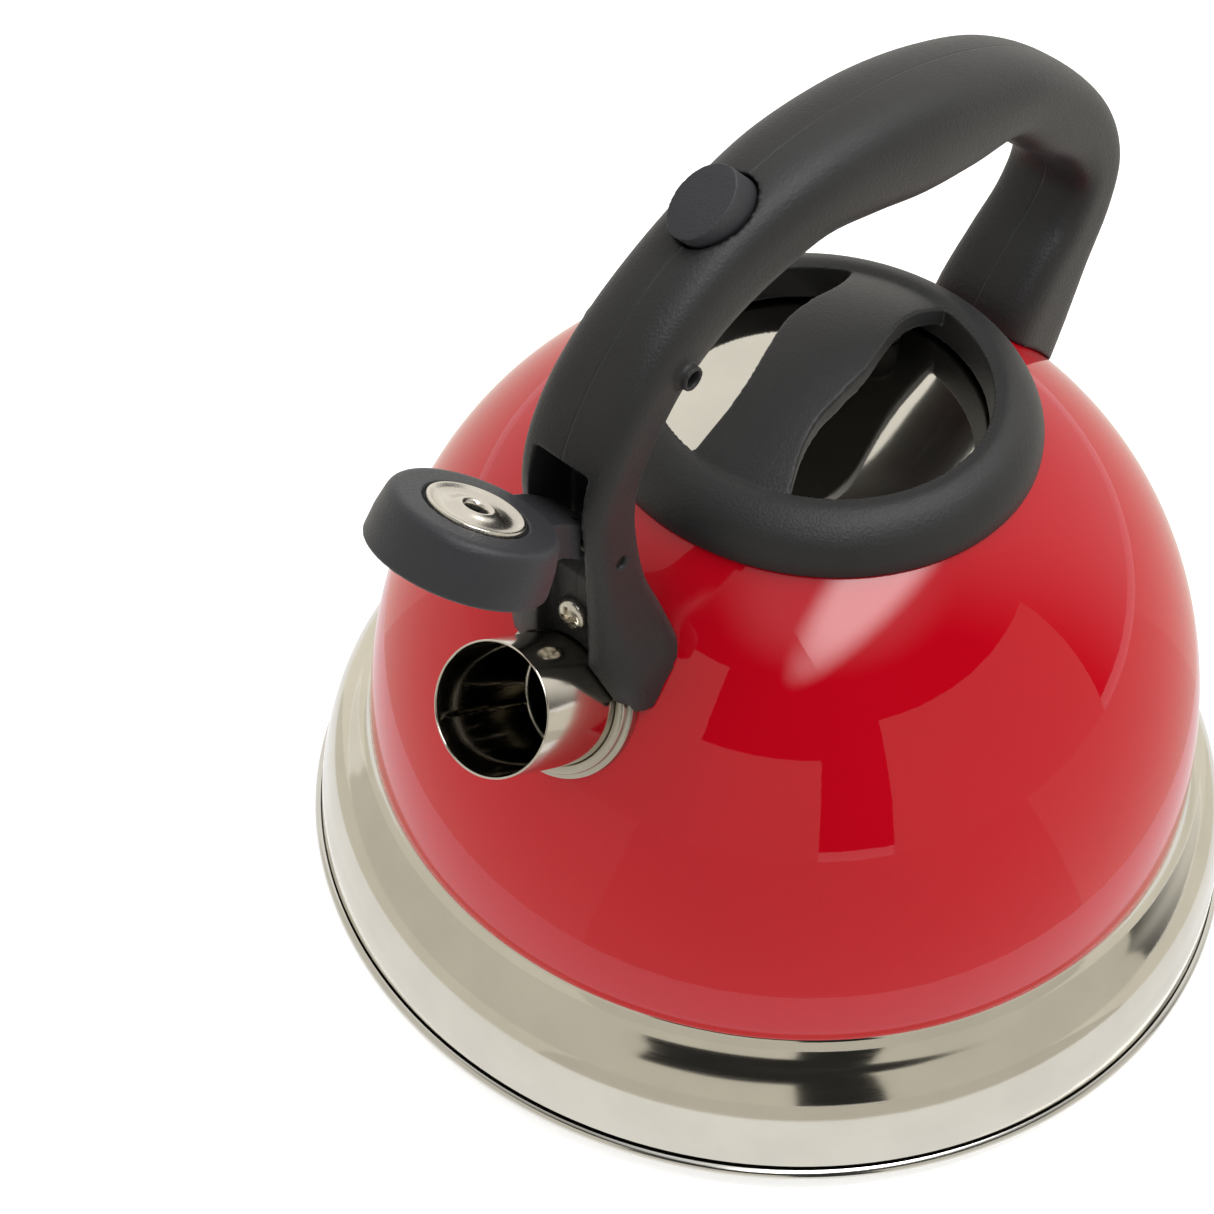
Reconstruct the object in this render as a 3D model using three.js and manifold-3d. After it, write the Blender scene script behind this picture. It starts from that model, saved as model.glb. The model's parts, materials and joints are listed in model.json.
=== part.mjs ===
// Stovetop whistling kettle: a drawn steel body with an enamelled dome, a seamed base with a
// heat-spreading disc, a lift-off lid, a bridge handle, and a hinged whistle cap on the spout
// worked by a thumb button through a rocker and a link. Millimetres, +Z up. The origin is the
// centre of the base underside, +X points to the spout, and the handle stands in the plane Y = 0.

import * as THREE from "three";
import { mergeVertices } from "three/addons/utils/BufferGeometryUtils.js";
import Module from "manifold-3d";

const wasm = await Module();
wasm.setup();

// Driving dimensions
const GAP = 0.35; // clearance kept between touching pieces
const ROUND_STEPS = 36; // facets of the large turned pieces
const SMALL_STEPS = 20; // facets of pins, screws and tubes
const SHEET = 1.2; // body sheet thickness

const BASE_R = 110; // outer radius of the base rim
const SKIRT_R = 108.4; // body skirt radius where it meets the base
const SKIRT_Z = 6.2;
const SHOULDER_R = 96.2; // where the enamel starts
const SHOULDER_Z = 35.5;
const DOME_RISE = 102.9; // height of the dome's superellipse above the shoulder
const DOME_POWER = 2.2;
const MOUTH_R = 42; // filling hole under the lid
const LEDGE_R = 46;
const LEDGE_Z = 128.2;

const CAPSULE_R = 88; // encapsulated base disc, the resting face
const PAN_Z = 3.3; // underside of the bottom pan

const SPOUT_TILT = THREE.MathUtils.degToRad(31);
const SPOUT_MOUTH = [100.6, 114.2]; // centre of the spout mouth, x and z
const SPOUT_R = 14.1;
const SPOUT_WALL = 0.9;
const SPOUT_LENGTH = 32;
const FERRULE_R = 17.2;

const HINGE = [75.8, 145.7]; // whistle cap hinge, x and z
const CAP_OPEN = THREE.MathUtils.degToRad(87.5); // how far the cap stands open
const CAP_STANDOFF = 5; // disc to spout mouth when the cap is shut
const CAP_TOP_R = 16;
const CAP_RIM_R = 18.4;
const CAP_DEPTH = 11.4;
const DISC_R = 9.9;
const PIN_R = 1; // cap hinge pin
const CRANK_R = 3; // link stud on the cap arm, from the hinge

const ROCKER = [61, 185.5]; // rocker pin, x and z
const ROCKER_PIN_R = 1.5;
const LINK_TOP = [76.4, 175.6]; // rocker stud that carries the link
const BUTTON_FACE = [46.6, 212.5];
const BUTTON_TILT = THREE.MathUtils.degToRad(46); // direction in which the button travels
const BUTTON_FACE_TILT = THREE.MathUtils.degToRad(58);
const BUTTON_LENGTH = 17;
const BUTTON_WIDTH = 11.6;

const WINDOW_HALF = 6.8; // half width of the slot in the front leg
const ARM_HALF = 5.9; // half width of the whistle cap's arm
const LINK_PLANE = [3.1, 4.6]; // the link lies between these two Y values

const LID_R = 48.5; // outer radius of the lid cover
const RING_INNER_R = 36.5; // inner radius of its ring
const RING_Z = 139.6; // crown of the ring
const GRIP_RISE = 11; // rise of the grip bridge above the ring
const PLATE_Z = 128.7; // rim of the lid plate
const LID_SCREWS = [[29, 5.5], [-29, -5.5]];

// Materials
const makeMaterial = (color, roughness, metalness) =>
  new THREE.MeshStandardMaterial({ color, roughness, metalness });
const enamel = () => makeMaterial(0xa82f33, 0.12, 0.0);
const polishedSteel = () => makeMaterial(0xc9c4b8, 0.16, 1.0);
const brushedSteel = () => makeMaterial(0xb4aea2, 0.38, 1.0);
const aluminium = () => makeMaterial(0xb8babd, 0.5, 1.0);
const nylon = () => makeMaterial(0x38383a, 0.55, 0.0);
const nickel = () => makeMaterial(0xcbc6ba, 0.2, 1.0);

// Solid helpers
function solidOf(geometry) {
  const bare = geometry.index ? geometry.toNonIndexed() : geometry.clone();
  bare.deleteAttribute("normal");
  bare.deleteAttribute("uv");
  const merged = mergeVertices(bare, 1e-4);
  const mesh = new wasm.Mesh({
    numProp: 3,
    vertProperties: new Float32Array(merged.attributes.position.array),
    triVerts: new Uint32Array(merged.index.array),
  });
  return new wasm.Manifold(mesh);
}

function geometryOf(solid) {
  const mesh = solid.getMesh();
  const geometry = new THREE.BufferGeometry();
  const points = new THREE.BufferAttribute(new Float32Array(mesh.vertProperties), 3);
  geometry.setAttribute("position", points);
  geometry.setIndex(new THREE.BufferAttribute(new Uint32Array(mesh.triVerts), 1));
  return geometry;
}

function joined(solids) {
  return solids.reduce((sum, solid) => sum.add(solid));
}

function carved(solid, cutters) {
  return cutters.reduce((rest, cutter) => rest.subtract(cutter), solid);
}

// A closed [radius, height] profile turned about Z
function turned(profile, steps = ROUND_STEPS) {
  const points = profile.map(([r, z]) => new THREE.Vector2(Math.max(r, 0), z));
  const closes = profile[0][0] > 0 || profile[profile.length - 1][0] > 0;
  if (closes) points.push(points[0].clone());
  const geometry = new THREE.LatheGeometry(points, steps);
  geometry.rotateX(Math.PI / 2);
  return solidOf(facingOut(geometry));
}

// Turns a closed geometry's faces outwards if its signed volume is negative
function facingOut(geometry) {
  const flat = geometry.index ? geometry.toNonIndexed() : geometry;
  const p = flat.attributes.position;
  const [a, b, c] = [new THREE.Vector3(), new THREE.Vector3(), new THREE.Vector3()];
  let volume = 0;
  for (let i = 0; i < p.count; i += 3) {
    a.fromBufferAttribute(p, i);
    b.fromBufferAttribute(p, i + 1);
    c.fromBufferAttribute(p, i + 2);
    volume += a.dot(b.cross(c));
  }
  if (volume < 0) {
    for (let i = 0; i < p.count; i += 3) {
      a.fromBufferAttribute(p, i + 1);
      b.fromBufferAttribute(p, i + 2);
      p.setXYZ(i + 1, b.x, b.y, b.z);
      p.setXYZ(i + 2, a.x, a.y, a.z);
    }
  }
  return flat;
}

// A side-view outline of [x, z] points, as thick as the span between two Y values
function sidePlate(outline, yLow, yHigh) {
  const shape = new THREE.Shape(outline.map(([x, z]) => new THREE.Vector2(x, z)));
  const geometry = new THREE.ExtrudeGeometry(shape, { depth: yHigh - yLow, bevelEnabled: false });
  geometry.rotateX(Math.PI / 2);
  geometry.translate(0, yHigh, 0);
  return solidOf(geometry);
}

// A round bar along Y through [x, z]
function crossBar([x, z], radius, yLow, yHigh, steps = SMALL_STEPS) {
  const geometry = new THREE.CylinderGeometry(radius, radius, yHigh - yLow, steps);
  geometry.translate(x, (yLow + yHigh) / 2, z);
  return solidOf(geometry);
}

// Stands a solid modelled along +Z on a tilted axis: its origin goes to [x, z], and +Z turns
// to the direction that is the given angle above +X
function onAxis(solid, [x, z], tilt) {
  const turn = 90 - THREE.MathUtils.radToDeg(tilt);
  return solid.rotate([0, turn, 0]).translate([x, 0, z]);
}

// Turns a solid about a Y axis through [x, z]; positive lowers what is in front
function aboutPin(solid, [x, z], angle) {
  const degrees = THREE.MathUtils.radToDeg(angle);
  return solid.translate([-x, 0, -z]).rotate([0, degrees, 0]).translate([x, 0, z]);
}

// Body form
function domeRadius(z) {
  const rise = Math.min(Math.max((z - SHOULDER_Z) / DOME_RISE, 0), 1);
  return SHOULDER_R * (1 - rise ** DOME_POWER) ** (1 / DOME_POWER);
}

function domeHeight(radius) {
  const part = 1 - (radius / SHOULDER_R) ** DOME_POWER;
  return SHOULDER_Z + DOME_RISE * part ** (1 / DOME_POWER);
}

function domePoints(offset) {
  const lowHeights = [SHOULDER_Z, 48, 60, 72, 83, 93];
  const low = lowHeights.map((z) => [domeRadius(z) + offset, z]);
  const radii = [78, 70, 62, 54.5];
  const high = radii.map((r) => [r + offset * 0.7, domeHeight(r) + offset * 0.7]);
  return [...low, ...high];
}

// The dome as a filled solid, grown by the given clearance, for seating pieces on it
function domeFilled(clearance) {
  const top = domeHeight(LEDGE_R) + clearance;
  const side = domePoints(clearance);
  return turned([[0, SHOULDER_Z], ...side, [LEDGE_R, top], [0, top]]);
}

const onMouth = (along) => [
  SPOUT_MOUTH[0] + along * Math.cos(SPOUT_TILT),
  SPOUT_MOUTH[1] + along * Math.sin(SPOUT_TILT),
];

// A round bar on the spout's axis between two distances from the mouth
function spoutBar(radius, from, to, steps = 32) {
  const bar = turned([[0, from], [radius, from], [radius, to], [0, to]], steps);
  return onAxis(bar, SPOUT_MOUTH, SPOUT_TILT);
}

function bodyShell() {
  const flare = [
    [SKIRT_R, SKIRT_Z], [108, 12], [107, 18.5], [105.2, 24.8], [102.4, 30], [99.4, 33.4],
  ];
  const outside = [...flare, ...domePoints(0), [LEDGE_R, LEDGE_Z], [MOUTH_R, LEDGE_Z]];
  const collar = [[MOUTH_R, LEDGE_Z - 5], [MOUTH_R + SHEET, LEDGE_Z - 5]];
  const ledgeUnder = [[MOUTH_R + SHEET, LEDGE_Z - SHEET], [LEDGE_R - 0.5, LEDGE_Z - SHEET]];
  const inside = domePoints(-SHEET).reverse();
  const flareInside = flare.map(([r, z]) => [r - SHEET, z]).reverse();
  const shell = turned([...outside, ...collar, ...ledgeUnder, ...inside, ...flareInside]);
  return carved(shell, [spoutBar(SPOUT_R + GAP, -45, 5)]);
}

function bottomPan() {
  const roll = [];
  const rollR = 2.3;
  const rollCentre = [BASE_R - rollR, 4];
  for (let step = 0; step <= 6; step += 1) {
    const angle = -Math.PI / 2 + (step * Math.PI) / 6;
    const out = rollR * Math.cos(angle);
    const up = rollR * Math.sin(angle) * 0.8;
    roll.push([rollCentre[0] + out, rollCentre[1] + up]);
  }
  const skirtInner = SKIRT_R - SHEET - 2 * GAP;
  const inside = [[107, 5.6], [skirtInner, 5.6], [skirtInner - 0.4, 8.4], [skirtInner - 1.4, 8.4]];
  const floor = [[102.6, PAN_Z + 1], [0, PAN_Z + 1], [0, PAN_Z], [103.4, PAN_Z], [105, 2.6]];
  const profile = [...roll, ...inside, ...floor];
  return turned(rotatedToAxis(profile));
}

// Reorders a profile so that it starts and ends on the axis
function rotatedToAxis(profile) {
  const first = profile.findIndex(([r], i) => r === 0 && profile[(i + 1) % profile.length][0] === 0);
  return [...profile.slice(first + 1), ...profile.slice(0, first + 1)];
}

function baseCapsule() {
  const wallTop = PAN_Z - GAP;
  const inner = CAPSULE_R - 1;
  return turned([
    [0, 0], [CAPSULE_R - 1.2, 0], [CAPSULE_R, 1], [CAPSULE_R, wallTop],
    [inner, wallTop], [inner, 0.8], [0, 0.8],
  ]);
}

function heatSpreader() {
  const radius = CAPSULE_R - 1.5;
  return turned([[0, 1.15], [radius, 1.15], [radius, PAN_Z - GAP], [0, PAN_Z - GAP]]);
}

// Spout
function spoutTube() {
  const bar = spoutBar(SPOUT_R, -SPOUT_LENGTH, 0);
  const bore = spoutBar(SPOUT_R - SPOUT_WALL, -SPOUT_LENGTH - 2, 2);
  return bar.subtract(bore);
}

function spoutFerrule() {
  const inner = SPOUT_R + GAP;
  const collar = turned([
    [inner, -30], [FERRULE_R, -30], [FERRULE_R, -25.6], [16.2, -25.1], [15.8, -23.9], [inner, -23.6],
  ], 32);
  return carved(onAxis(collar, SPOUT_MOUTH, SPOUT_TILT), [domeFilled(GAP)]);
}

// Whistle cap: modelled shut, in front of the spout, then swung open about its hinge
const capSeat = onMouth(CAP_STANDOFF);

function openCap(shutSolid) {
  return aboutPin(shutSolid, HINGE, -CAP_OPEN);
}

function whistleCup() {
  const cup = turned([
    [0, -1.4], [DISC_R + 0.5, -1.4], [DISC_R + 0.7, 0], [CAP_TOP_R - 0.6, 0], [CAP_TOP_R + 0.5, -0.5],
    [CAP_TOP_R + 1.1, -1.6], [CAP_RIM_R - 0.5, -6], [CAP_RIM_R, -CAP_DEPTH + 0.8],
    [CAP_RIM_R - 0.8, -CAP_DEPTH], [16.6, -CAP_DEPTH], [15.9, -4], [0, -3.6],
  ], 36);
  const vent = turned([[0, -5], [2.2, -5], [2.2, 1], [0, 1]], SMALL_STEPS);
  return onAxis(cup.subtract(vent), capSeat, SPOUT_TILT);
}

// The arm is drawn open, as it stands at rest
function whistleArm() {
  const outline = [
    [93.4, 163.6], [89, 162], [84.4, 158.9], [79, 154.2], [74.6, 149.4], [HINGE[0] - 2.9, HINGE[1] + 1],
    [HINGE[0] - 2.5, HINGE[1] - 1.8], [HINGE[0], HINGE[1] - 3.1], [HINGE[0] + 3.2, HINGE[1] - 2.2],
    [82, 147.4], [87.5, 151.6], [96.8, 154.4],
  ];
  return sidePlate(outline, -ARM_HALF, ARM_HALF);
}

const crankAngle = CAP_OPEN / 2;
const crankStud = [
  HINGE[0] + CRANK_R * Math.cos(crankAngle),
  HINGE[1] + CRANK_R * Math.sin(crankAngle),
];

function whistleCap() {
  const linkRoom = sidePlate(
    [[66, 136], [81.2, 136], [82.6, 150], [82.6, 170], [66, 170]], LINK_PLANE[0] - GAP, ARM_HALF + 1,
  );
  const cupHollow = openCap(onAxis(turned([[0, -30], [16.4, -30], [16.4, -3.7], [0, -3.7]], 36),
    capSeat, SPOUT_TILT));
  const arm = carved(whistleArm(), [linkRoom, cupHollow]);
  const stud = crossBar(crankStud, 0.6, 1, LINK_PLANE[1] + 0.4, 12);
  const pinHole = crossBar(HINGE, PIN_R + GAP, -8, 8);
  return joined([openCap(whistleCup()), arm, stud]).subtract(pinHole);
}

function whistleDisc(profile) {
  return openCap(onAxis(turned(profile, 32), capSeat, SPOUT_TILT));
}

function whistleOuterDisc() {
  return whistleDisc([
    [1.5, -0.1], [2.6, 0.7], [4.2, 0.9], [5.8, 0.2], [7.2, -0.3], [8.6, 0.1], [9.4, 0.7], [DISC_R, 0.2],
    [DISC_R, -0.7], [7.2, -0.95], [2.4, -0.95], [1.5, -0.7],
  ]);
}

function whistleInnerDisc() {
  return whistleDisc([[1.5, -3.95], [11, -3.95], [11, -4.6], [1.5, -4.6]]);
}

// Linkage
const buttonDirection = [Math.cos(BUTTON_TILT), Math.sin(BUTTON_TILT)];

// A point measured along the button's travel from its face, and across it towards the front
function fromButton(along, across) {
  return [
    BUTTON_FACE[0] + along * buttonDirection[0] + across * buttonDirection[1],
    BUTTON_FACE[1] + along * buttonDirection[1] - across * buttonDirection[0],
  ];
}

const PUSH_ACROSS = 6; // the stem stands this far in front of the button's middle
const STEM_END = -17.4;

// An oval bar along the button's travel
function ovalBar(length, width, low, high, across = 0) {
  const bar = turned([[0, low], [0.5, low], [0.5, high], [0, high]], 28);
  const oval = bar.scale([length, width, 1]);
  return onAxis(oval, fromButton(0, across), BUTTON_TILT);
}

function thumbButton() {
  const faceCut = onAxis(
    turned([[0, 0], [40, 0], [40, 40], [0, 40]], 4), BUTTON_FACE, BUTTON_FACE_TILT,
  );
  const plunger = ovalBar(BUTTON_LENGTH * 0.98, BUTTON_WIDTH, -12.6, 8).subtract(faceCut);
  const stem = ovalBar(4.4, 4.4, STEM_END, -12, PUSH_ACROSS);
  return joined([plunger, stem]);
}

function rockerLever() {
  const push = fromButton(STEM_END - GAP, PUSH_ACROSS);
  const across = [buttonDirection[1], -buttonDirection[0]];
  const at = (a, b) => [
    push[0] + a * across[0] + b * buttonDirection[0],
    push[1] + a * across[1] + b * buttonDirection[1],
  ];
  const rear = sidePlate([
    at(-2.6, 0), at(2.6, 0), [ROCKER[0] + 2.2, ROCKER[1] + 3], [ROCKER[0] + 1, ROCKER[1] - 3.2],
    [ROCKER[0] - 3.2, ROCKER[1] - 0.6], at(-2.6, -3),
  ], -2.4, 2.4);
  const front = sidePlate([
    [ROCKER[0] + 1, ROCKER[1] + 3.4], [LINK_TOP[0] + 1.2, LINK_TOP[1] + 1.4],
    [LINK_TOP[0] - 1.2, LINK_TOP[1] - 1.4], [ROCKER[0] - 1.4, ROCKER[1] - 3],
  ], -2.4, 2.4);
  const tip = crossBar(LINK_TOP, 1.9, -2.4, 2.4, 16);
  const hub = crossBar(ROCKER, 3.6, -2.4, 2.4);
  const stud = crossBar(LINK_TOP, 1, 1, LINK_PLANE[1] + 0.4, 12);
  const bore = crossBar(ROCKER, ROCKER_PIN_R + GAP, -8, 8);
  return joined([rear, front, tip, hub, stud]).subtract(bore);
}

function linkRod() {
  const [low, high] = LINK_PLANE;
  const foot = [crankStud[0] + 0.34, crankStud[1]]; // shares out the play round the stud
  const run = [LINK_TOP[0] - foot[0], LINK_TOP[1] - foot[1]];
  const length = Math.hypot(run[0], run[1]);
  const tilt = Math.atan2(run[1], run[0]);
  const side = [-Math.sin(tilt), Math.cos(tilt)];
  const at = (along, across) => [
    foot[0] + along * Math.cos(tilt) + across * side[0],
    foot[1] + along * Math.sin(tilt) + across * side[1],
  ];
  const bar = sidePlate([at(1, -0.9), at(length, -0.9), at(length, 0.9), at(1, 0.9)], low, high);
  const eyes = joined([crossBar(LINK_TOP, 2.1, low, high), crossBar(foot, 1.6, low, high)]);
  const bores = [crossBar(LINK_TOP, 1 + GAP, 0, 9), crossBar(foot, 1, 0, 9)];
  return carved(bar.add(eyes), bores);
}

// Handle: sections between an outside and an inside point of the side view, each with its
// half width; the sections are rounded boxes, squarer in the legs and rounder in the grip
const HANDLE_SECTIONS = [
  // outside, inside, half width, squareness
  [[77.5, 106.4], [57.5, 108], 18.8, 4.5],
  [[79.6, 114.5], [59.6, 116.2], 17.6, 4.5],
  [[80.2, 124], [62, 125], 14, 4.5],
  [[81.4, 136], [66.2, 135.5], 11.6, 4.5],
  [[83, 150], [69.2, 148], 10.9, 4.5],
  [[84.4, 160], [70.2, 157.5], 11, 4.2],
  [[83.2, 169.5], [68.8, 165.8], 11.4, 3.8],
  [[79.2, 179.6], [64.4, 172.4], 11.5, 3.4],
  [[73, 188.6], [58.8, 178.2], 11.3, 3.1],
  [[64, 197], [52, 182.4], 11.1, 2.9],
  [[51.5, 204.6], [43.4, 186.2], 11.2, 2.7],
  [[37.2, 210], [32.9, 189.2], 11.7, 2.6],
  [[21, 213], [20, 191.8], 12.6, 2.5],
  [[3.2, 213.2], [4.4, 189], 13.4, 2.5],
  [[-15, 211], [-10.6, 185.4], 13.9, 2.5],
  [[-33.6, 206.2], [-26.2, 183.6], 13.6, 2.5],
  [[-52, 198.6], [-43.2, 182.8], 12.8, 2.6],
  [[-69, 187.6], [-57.4, 171.2], 12.4, 2.7],
  [[-83.4, 172.8], [-69.4, 162.8], 12.1, 3],
  [[-91, 156.8], [-75.4, 154], 11.9, 3.3],
  [[-90.6, 142], [-72, 145.8], 11.9, 3.6],
  [[-85.2, 129.4], [-64, 137.8], 12.4, 3.9],
  [[-79.6, 116.4], [-56, 128], 13.2, 4.2],
  [[-74, 104], [-51, 117], 13.6, 4.5],
];
const SECTION_POINTS = 16;

function sectionRing([outside, inside, halfWidth, squareness]) {
  const centre = [(outside[0] + inside[0]) / 2, (outside[1] + inside[1]) / 2];
  const reach = [(outside[0] - inside[0]) / 2, (outside[1] - inside[1]) / 2];
  const ring = [];
  for (let i = 0; i < SECTION_POINTS; i += 1) {
    const angle = (2 * Math.PI * (i + 0.5)) / SECTION_POINTS;
    const c = Math.cos(angle);
    const s = Math.sin(angle);
    const scale = (Math.abs(c) ** squareness + Math.abs(s) ** squareness) ** (-1 / squareness);
    ring.push(new THREE.Vector3(
      centre[0] + reach[0] * c * scale, halfWidth * s * scale, centre[1] + reach[1] * c * scale,
    ));
  }
  return ring;
}

// Skins a list of rings into one closed solid
function lofted(rings) {
  const corners = [];
  const addTriangle = (a, b, c) => corners.push(...a.toArray(), ...b.toArray(), ...c.toArray());
  const count = rings[0].length;
  for (let r = 0; r + 1 < rings.length; r += 1) {
    for (let i = 0; i < count; i += 1) {
      const j = (i + 1) % count;
      addTriangle(rings[r][i], rings[r][j], rings[r + 1][j]);
      addTriangle(rings[r][i], rings[r + 1][j], rings[r + 1][i]);
    }
  }
  for (let i = 1; i + 1 < count; i += 1) {
    const last = rings[rings.length - 1];
    addTriangle(rings[0][0], rings[0][i + 1], rings[0][i]);
    addTriangle(last[0], last[i], last[i + 1]);
  }
  const geometry = new THREE.BufferGeometry();
  geometry.setAttribute("position", new THREE.Float32BufferAttribute(corners, 3));
  return solidOf(facingOut(geometry));
}

function legSlot() {
  return sidePlate([
    [100, 126], [100, 170.2], [80.5, 170.2], [79.9, 173], [78.8, 177.4], [72, 176.6],
    [68.8, 171.6], [68.9, 167.6], [71.2, 162], [71.9, 156], [71.5, 150], [71.2, 142.4], [73, 139],
    [76.6, 135.5], [76.2, 126], [76, 100], [100, 100],
  ], -WINDOW_HALF, WINDOW_HALF);
}

// Room for the rocker's swing, inside the front of the arch
function rockerRoom() {
  return sidePlate([
    [34, 197], [34.2, 194.7], [57, 184.2], [57.9, 181.8], [60.4, 180.8], [68.4, 168.4], [71, 167],
    [78, 171], [79.6, 174], [78.6, 177.8], [72, 184.4], [64.4, 190.6], [60, 192], [46.4, 203.4],
    [42.2, 205.4], [38.6, 204.4], [35.4, 200.6],
  ], -WINDOW_HALF + 1, WINDOW_HALF - 1);
}

function bracketPocket() {
  return sidePlate([
    [64.6, 100], [64.6, 121.4], [68, 125.6], [68, 131.4], [71.6, 131.4], [71.6, 100],
  ], -WINDOW_HALF, WINDOW_HALF);
}

function rearPocket() {
  return sidePlate([
    [-60.4, 100], [-60.4, 124.4], [-66.6, 129], [-71.6, 129], [-71.6, 100],
  ], -WINDOW_HALF, WINDOW_HALF);
}

// A round bar along X through height z
function longBar(radius, xLow, xHigh, z, steps = SMALL_STEPS) {
  const geometry = new THREE.CylinderGeometry(radius, radius, xHigh - xLow, steps);
  geometry.rotateZ(Math.PI / 2);
  geometry.translate((xLow + xHigh) / 2, 0, z);
  return solidOf(geometry);
}

const FRONT_SCREW_Z = 124.4;
const REAR_SCREW_Z = 121.5;

function handle() {
  const blank = lofted(HANDLE_SECTIONS.map(sectionRing));
  const boss = crossBar(ROCKER, 2.6, -13.4, 13.4); // its ends stand out of both sides
  const lidRoom = turned([[0, 100], [LID_R + 2, 100], [LID_R + 2, 165], [30, 176], [0, 180]]);
  const buttonWell = ovalBar(BUTTON_LENGTH + 0.9, BUTTON_WIDTH + 0.9, -15.4, 20);
  const stemBore = ovalBar(5.6, 5.6, STEM_END - 2, -12, PUSH_ACROSS);
  const cutters = [
    domeFilled(GAP), spoutBar(SPOUT_R + GAP, -60, 6), spoutBar(FERRULE_R + GAP, -60, -23.2),
    lidRoom, legSlot(), rockerRoom(), buttonWell, stemBore, bracketPocket(), rearPocket(),
    crossBar(HINGE, PIN_R + GAP, -30, 30), crossBar(ROCKER, ROCKER_PIN_R + GAP, -30, 30),
    longBar(2, 66, 80, FRONT_SCREW_Z), longBar(2, -90, -60, REAR_SCREW_Z),
    longBar(4.2, -100, -75.4, REAR_SCREW_Z),
  ];
  return carved(blank.add(boss), cutters);
}

// Brackets welded on the dome, and the screws that hold the handle to them
function frontBracket() {
  const plate = sidePlate([
    [71.1, 104], [71.1, 130.8], [69.3, 130.8], [69.3, 118.4], [65.4, 119.8], [65.4, 108],
  ], -6.2, 6.2);
  const threadHole = longBar(1.5 + GAP, 60, 80, FRONT_SCREW_Z);
  return carved(plate, [domeFilled(GAP), spoutBar(FERRULE_R + GAP, -60, 6), threadHole]);
}

function rearBracket() {
  const plate = sidePlate([
    [-71.1, 104], [-71.1, 128.4], [-69.3, 128.4], [-69.3, 118.4], [-61, 123.4], [-61, 110],
  ], -6.2, 6.2);
  return carved(plate, [domeFilled(GAP), longBar(1.5 + GAP, -80, -60, REAR_SCREW_Z)]);
}

// A pan-head cross-recess screw along +X, its head seated on the plane x = seat
function panScrew(seat, tip, z) {
  const forward = Math.sign(seat - tip);
  const length = Math.abs(seat - tip);
  const body = turned([
    [0, -length], [1.5, -length], [1.5, 0], [3.4, 0], [3.4, 0.9], [2.7, 1.8], [1.4, 2.3], [0, 2.3],
  ], 16);
  const slot = (x, y) => solidOf(new THREE.BoxGeometry(x, y, 2).translate(0, 0, 2.1));
  const headed = carved(body, [slot(3.4, 0.9), slot(0.9, 3.4)]);
  return headed.rotate([0, 90 * forward, 0]).translate([seat, 0, z]);
}

// Lid
const GRIP_EDGE = [[-36.4, 4.6], [-27, 4.4], [-18.5, 5.6], [-10, 8], [0, 10.9], [9, 11.8], [17, 12.2],
  [24, 13.9], [31.4, 17.4]];

// One of the two eye-shaped openings beside the grip, seen from above
function eyeShape() {
  const [tipX, tipY] = GRIP_EDGE[GRIP_EDGE.length - 1];
  const roundEnd = THREE.MathUtils.degToRad(168);
  const shape = new THREE.Shape();
  shape.moveTo(tipX, tipY);
  shape.absarc(0, 0, RING_INNER_R, Math.atan2(tipY, tipX), roundEnd, false);
  shape.lineTo(GRIP_EDGE[0][0], GRIP_EDGE[0][1]);
  shape.splineThru(GRIP_EDGE.slice(1).map(([x, y]) => new THREE.Vector2(x, y)));
  return shape;
}

function eyeCutters() {
  const options = { depth: 40, bevelEnabled: false, curveSegments: 7 };
  const geometry = new THREE.ExtrudeGeometry(eyeShape(), options);
  geometry.translate(0, 0, 120);
  const eye = solidOf(geometry);
  return [eye, eye.rotate([0, 0, 180])];
}

// A round post under the grip, at [x, y]
function lidPost([x, y], radius, low, high) {
  const post = turned([[0, low], [radius, low], [radius, high], [0, high]], SMALL_STEPS);
  return post.translate([x, y, 0]);
}

function gripHeight(radius) {
  return RING_Z + GRIP_RISE * (1 - (radius / RING_INNER_R) ** 2);
}

function lidCover() {
  const wall = 2;
  const ring = turned([
    [LID_R, 128], [LID_R - 0.3, 131.6], [46.4, 135.2], [43.4, 138], [39.8, RING_Z],
    [RING_INNER_R + 0.8, RING_Z], [RING_INNER_R, RING_Z - 0.8], [RING_INNER_R, 131],
    [RING_INNER_R + wall, 131], [RING_INNER_R + wall, 136.6], [42.2, 135.4], [45, 132.4],
    [46.4, 129.6], [46.8, 128.9],
  ]);
  const radii = [0, 10, 18, 25, 31, RING_INNER_R + wall - 0.4];
  const top = radii.map((r) => [r, gripHeight(r)]);
  const under = radii.map((r) => [r, gripHeight(r) - 4.6]).reverse();
  const bridge = carved(turned([...top, ...under]), eyeCutters());
  const posts = LID_SCREWS.map((spot) => lidPost(spot, 4, 130.8, 141));
  const bores = LID_SCREWS.map((spot) => lidPost(spot, 1.8, 120, 138.6));
  return carved(joined([ring, bridge, ...posts]), bores);
}

function lidPlate() {
  const plate = turned([
    [0, 130.9], [20, 130.6], [33, 130.1], [40, PLATE_Z + 0.8], [45.6, PLATE_Z + 0.8], [45.6, PLATE_Z],
    [40, PLATE_Z], [33, 129.3], [20, 129.8], [0, 130.1],
  ]);
  return carved(plate, LID_SCREWS.map((spot) => lidPost(spot, 1.9, 120, 140)));
}

function lidSkirt() {
  const outer = MOUTH_R - 0.8;
  return turned([
    [outer, 116], [outer, PLATE_Z - GAP], [outer - 4, PLATE_Z - GAP], [outer - 4, PLATE_Z - GAP - 0.8],
    [outer - 0.9, PLATE_Z - GAP - 0.8], [outer - 0.9, 116],
  ]);
}

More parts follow.
